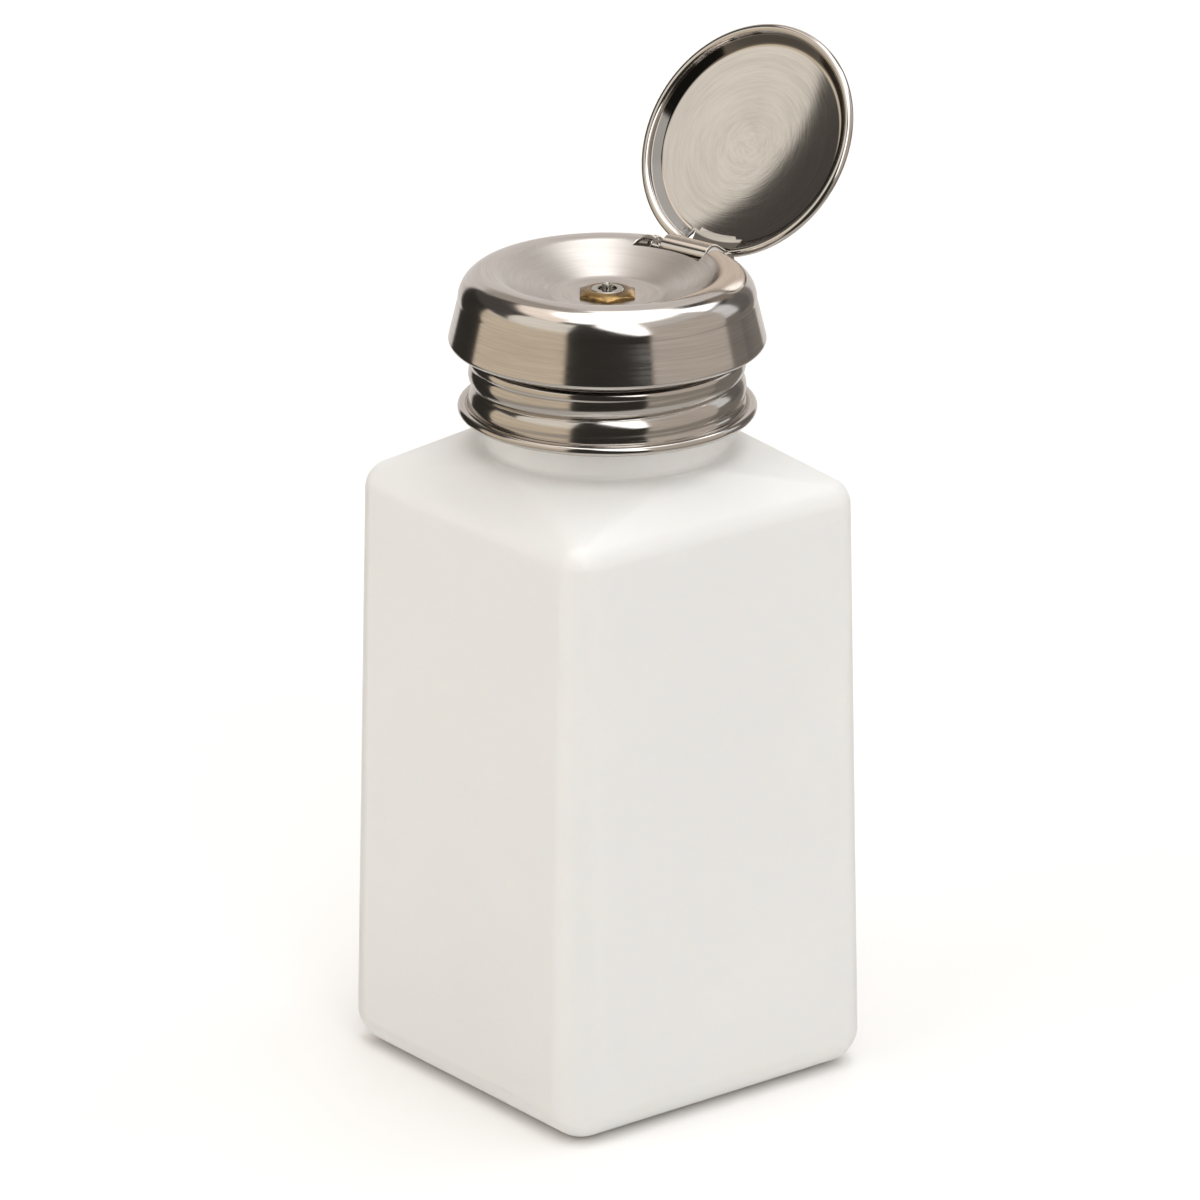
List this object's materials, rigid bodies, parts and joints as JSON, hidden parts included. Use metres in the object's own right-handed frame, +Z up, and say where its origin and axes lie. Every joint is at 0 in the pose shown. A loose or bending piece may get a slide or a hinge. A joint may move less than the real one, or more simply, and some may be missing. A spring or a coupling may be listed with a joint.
{
  "type": "pump dispenser bottle",
  "caption": "Square plastic dispenser bottle with a push-down steel dish pump, a screw collar and a hinged flip lid standing open.",
  "frame": {"origin": "centre of the bottle's base, on the plane it stands on", "axes": "+Z up along the neck and the pump, X and Y square to the bottle's faces, the lid's hinge towards +Y and turned 12.8 degrees towards -X"},
  "size_m": [0.057, 0.0711, 0.1508],
  "materials": {
    "bottle_plastic": "satin natural white blown plastic",
    "collar_steel": "polished spun steel",
    "dish_steel": "polished drawn steel with a brushed well",
    "lid_steel": "polished pressed steel",
    "pin_steel": "polished steel",
    "outlet_brass": "plain turned brass",
    "outlet_steel": "turned steel",
    "pump_plastic": "moulded natural plastic",
    "piston_plastic": "moulded plastic",
    "tube_plastic": "extruded natural plastic",
    "seal_rubber": "black rubber",
    "gasket_rubber": "soft pale gasket",
    "inner_steel": "plain steel"
  },
  "bodies": {
    "bottle": {"bottle": "bottle_plastic"},
    "pump_insert": {"pump_body": "pump_plastic", "neck_gasket": "gasket_rubber", "gland_nut": "pump_plastic", "gland_seal": "seal_rubber", "foot_ball": "inner_steel", "ball_cage": "pump_plastic", "dip_tube": "tube_plastic", "return_spring": "inner_steel"},
    "collar": {"collar": "collar_steel"},
    "plunger": {"stem": "inner_steel", "piston": "piston_plastic", "piston_seal": "seal_rubber", "discharge_ball": "inner_steel", "ball_stop_pin": "inner_steel", "dish_washer": "piston_plastic", "dish": "dish_steel", "outlet_nut": "outlet_brass", "outlet_sleeve": "outlet_steel", "hinge_pin": "pin_steel"},
    "lid": {"lid": "lid_steel"}
  },
  "joints": [
    {"name": "insert_lift", "type": "slide", "parent": "bottle", "child": "pump_insert", "axis": [0, 0, 1], "range_m": [0, 0.00501]},
    {"name": "collar_turn", "type": "hinge", "parent": "pump_insert", "child": "collar", "pos_m": [0, 0, 0.1065], "axis": [0, 0, 1], "range_deg": [0, 450]},
    {"name": "dish_press", "type": "slide", "parent": "pump_insert", "child": "plunger", "axis": [0, 0, 1], "range_m": [-0.006, 0], "stiffness_N_per_m": 400, "springref_m": 0.01, "deforming": ["return_spring"]},
    {"name": "lid_hinge", "type": "hinge", "parent": "plunger", "child": "lid", "pos_m": [-0.0043, 0.01892, 0.1208], "axis": [0.9751, 0.2215, 0], "range_deg": [0, 122.4]}
  ],
  "couplings": [
    {"joint": "insert_lift", "follows": "collar_turn", "m_per_rad": 0.00063662}
  ]
}
